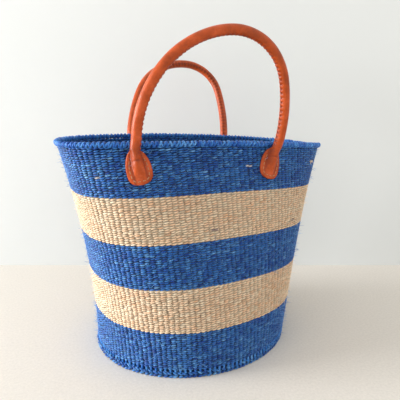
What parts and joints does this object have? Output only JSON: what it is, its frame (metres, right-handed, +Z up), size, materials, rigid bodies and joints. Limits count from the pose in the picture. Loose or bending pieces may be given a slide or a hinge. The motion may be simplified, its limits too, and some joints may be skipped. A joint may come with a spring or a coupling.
{
  "type": "woven basket tote",
  "caption": "Twined sisal basket with a rolled rim, a flat woven base, contrasting stripes and rolled leather carrying handles on stitched tabs that swing at the rim.",
  "frame": {"origin": "middle of the base on the floor", "axes": "+X along the long side of the mouth to the right, +Y from the front to the rear, +Z up"},
  "size_m": [0.3391, 0.2397, 0.3681],
  "materials": {
    "sisal_blue": "dyed twined plant fibre, matt with fine sheen",
    "sisal_natural": "undyed twined plant fibre, matt",
    "sisal_cord": "plain twisted cord, hidden",
    "leather_tan": "smooth vegetable-tanned leather, semi-gloss",
    "leather_lace": "thin leather lace, satin",
    "waxed_thread": "waxed tan thread"
  },
  "bodies": {
    "basket": {"base_border": "sisal_blue", "base_disc": "sisal_blue", "base_turn_warps": "sisal_blue", "wall_band_blue_bottom": "sisal_blue", "wall_band_blue_middle": "sisal_blue", "wall_band_blue_top": "sisal_blue", "rim_wrap": "sisal_blue", "wall_band_natural_lower": "sisal_natural", "wall_band_natural_upper": "sisal_natural", "rim_core": "sisal_cord", "tab_front_left": "leather_tan", "tab_front_left_cord": "sisal_cord", "tab_front_left_stitches": "waxed_thread", "tab_front_right": "leather_tan", "tab_front_right_cord": "sisal_cord", "tab_front_right_stitches": "waxed_thread", "tab_rear_left": "leather_tan", "tab_rear_left_cord": "sisal_cord", "tab_rear_left_stitches": "waxed_thread", "tab_rear_right": "leather_tan", "tab_rear_right_cord": "sisal_cord", "tab_rear_right_stitches": "waxed_thread"},
    "handle_front": {"handle_front_sleeve": "leather_tan", "handle_front_cord": "sisal_cord", "handle_front_seam": "leather_lace"},
    "handle_rear": {"handle_rear_sleeve": "leather_tan", "handle_rear_cord": "sisal_cord", "handle_rear_seam": "leather_lace"}
  },
  "joints": [
    {"name": "handle_front_swing", "type": "hinge", "parent": "basket", "child": "handle_front", "pos_m": [-0.0987, -0.06529, 0.25542], "axis": [0.9916, -0.1233, -0.0387], "range_deg": [-50, 80]},
    {"name": "handle_rear_swing", "type": "hinge", "parent": "basket", "child": "handle_rear", "pos_m": [-0.0442, 0.08472, 0.25388], "axis": [-0.9934, 0.1076, 0.0387], "range_deg": [-58, 62]}
  ]
}
